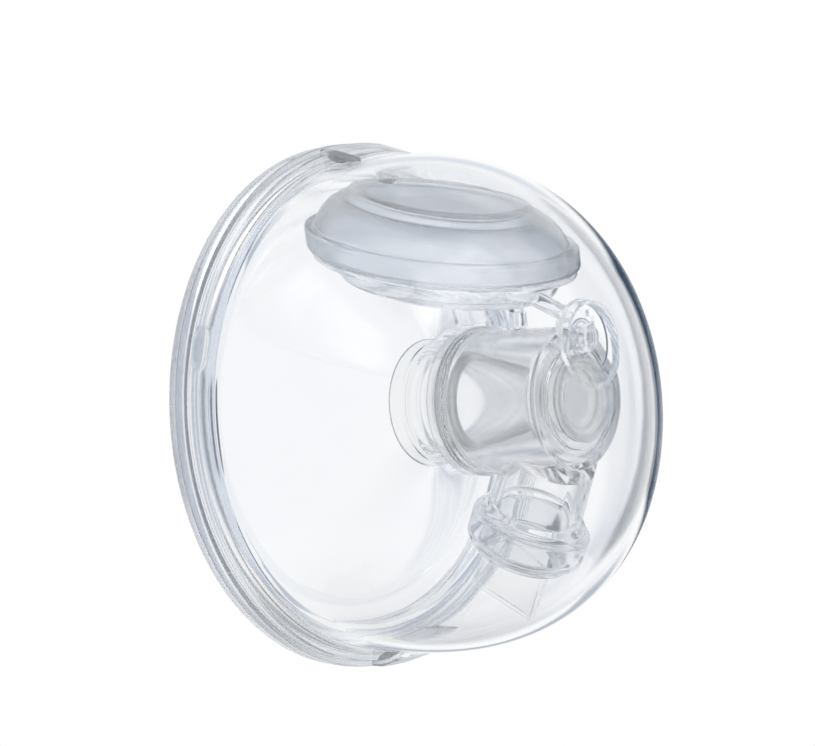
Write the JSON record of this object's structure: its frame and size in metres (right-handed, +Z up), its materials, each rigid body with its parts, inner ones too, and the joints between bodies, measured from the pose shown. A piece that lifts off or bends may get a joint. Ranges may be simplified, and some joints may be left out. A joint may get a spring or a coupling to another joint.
{
  "type": "breast pump collection cup",
  "caption": "Hands-free in-bra milk collection cup: clear domed shell over a funnel shield, silicone diaphragm, duckbill valve and a nose port for the pump tube.",
  "frame": {"origin": "centre of the rim's back plane, where the cup rests on the breast", "axes": "+Y points out of the back towards the wearer, -Y out of the nose, +Z up as worn"},
  "size_m": [0.12, 0.0705, 0.12],
  "materials": {
    "clear_shell": "clear moulded copolyester, polished",
    "clear_shield": "clear moulded copolyester, polished",
    "clear_housing": "clear moulded copolyester, polished",
    "clear_silicone": "clear silicone rubber, satin",
    "blue_silicone": "translucent blue-grey silicone rubber, satin",
    "milky_silicone": "milky translucent silicone rubber, satin"
  },
  "bodies": {
    "cup": {"breast_shield": "clear_shield", "rim_gasket": "clear_silicone", "tunnel_oring": "blue_silicone", "connector_housing": "clear_housing", "front_window": "clear_housing", "window_seal": "blue_silicone", "valve_collar": "clear_silicone", "diaphragm_base": "clear_housing", "diaphragm_rim": "blue_silicone", "suction_duct": "clear_housing", "air_duct": "clear_housing", "air_port": "clear_housing", "port_oring": "blue_silicone", "base_bracket_rear": "clear_housing", "base_bracket_front": "clear_housing"},
    "shell": {"outer_shell": "clear_shell", "port_grommet": "clear_silicone"},
    "insert": {"flange_insert": "milky_silicone"},
    "crown": {"diaphragm_crown": "blue_silicone"},
    "lip_left": {"valve_lip_left": "clear_silicone"},
    "lip_right": {"valve_lip_right": "clear_silicone"}
  },
  "joints": [
    {"name": "shell_pull", "type": "slide", "parent": "cup", "child": "shell", "axis": [0, -1, 0], "range_m": [0, 0.075]},
    {"name": "insert_pull", "type": "slide", "parent": "cup", "child": "insert", "axis": [0, 1, 0], "range_m": [0, 0.045]},
    {"name": "diaphragm_stroke", "type": "slide", "parent": "cup", "child": "crown", "axis": [0, 0, -1], "range_m": [0, 0.004], "stiffness_N_per_m": 100},
    {"name": "lip_left_flex", "type": "hinge", "parent": "cup", "child": "lip_left", "pos_m": [-0.0046, -0.04393, -0.03468], "axis": [0, 0.891, 0.454], "range_deg": [0, 8], "stiffness_Nm_per_rad": 0.005},
    {"name": "lip_right_flex", "type": "hinge", "parent": "cup", "child": "lip_right", "pos_m": [0.0046, -0.04393, -0.03468], "axis": [0, -0.891, -0.454], "range_deg": [0, 8], "stiffness_Nm_per_rad": 0.005}
  ]
}
